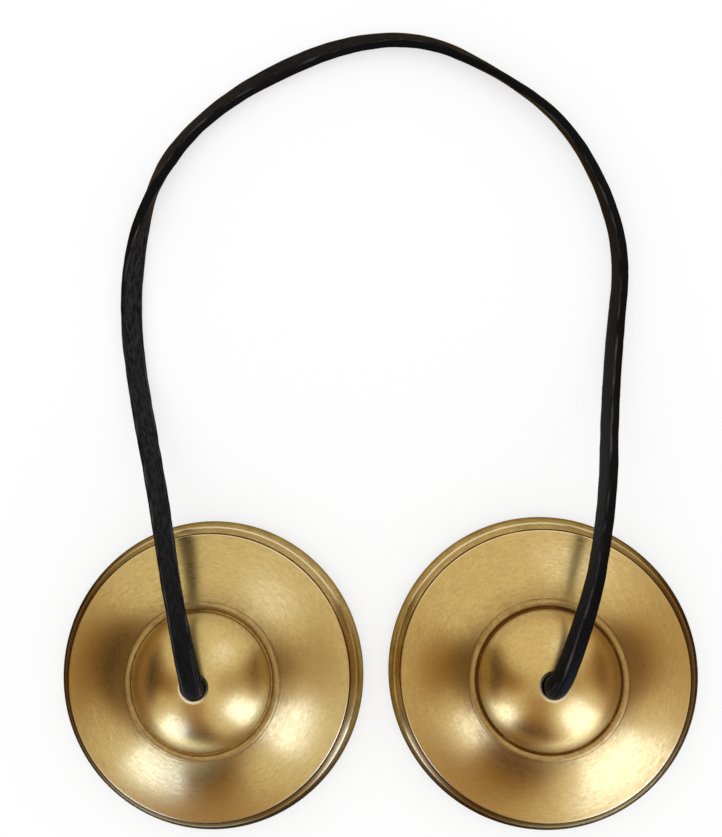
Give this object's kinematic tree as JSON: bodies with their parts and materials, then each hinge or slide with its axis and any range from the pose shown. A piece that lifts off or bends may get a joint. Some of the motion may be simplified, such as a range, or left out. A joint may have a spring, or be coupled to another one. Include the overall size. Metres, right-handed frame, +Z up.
{
  "type": "tingsha cymbals",
  "caption": "Small thick domed bronze hand cymbals joined by a knotted leather thong, rung by striking rim on rim.",
  "frame": {"origin": "on the table, midway between the axes of the cymbals that lie rim down", "axes": "+X from the left cymbal's hole to the right one's, +Y towards the arch of the thong, +Z up along the cymbals' axes"},
  "size_m": [0.1352, 0.1748, 0.0274],
  "materials": {
    "bronze": "cast bell bronze, turned on a lathe, satin, lightly aged",
    "leather": "matt black leather thong"
  },
  "bodies": {
    "left_cymbal": {"left_cymbal": "bronze"},
    "left_end": {"left_knot": "leather", "left_bend": "leather"},
    "cord": {"cord": "leather"},
    "right_end": {"right_knot": "leather", "right_bend": "leather"},
    "right_cymbal": {"right_cymbal": "bronze"}
  },
  "joints": [
    {"name": "left_spin", "type": "hinge", "parent": "left_cymbal", "child": "left_end", "pos_m": [-0.03515, 0, 0.0215], "axis": [0, 0, 1], "continuous": true},
    {"name": "left_lift", "type": "hinge", "parent": "left_end", "child": "cord", "pos_m": [-0.03515, 0, 0.0215], "axis": [1, 0, 0], "range_deg": [0, 90], "deforming": ["left_bend"]},
    {"name": "right_lift", "type": "hinge", "parent": "cord", "child": "right_end", "pos_m": [0.03515, 0, 0.0215], "axis": [1, 0, 0], "range_deg": [-90, 0], "deforming": ["right_bend"]},
    {"name": "right_spin", "type": "hinge", "parent": "right_end", "child": "right_cymbal", "pos_m": [0.03515, 0, 0.0215], "axis": [0, 0, 1], "continuous": true}
  ],
  "couplings": [
    {"joint": "right_lift", "follows": "left_lift", "ratio": -1}
  ]
}
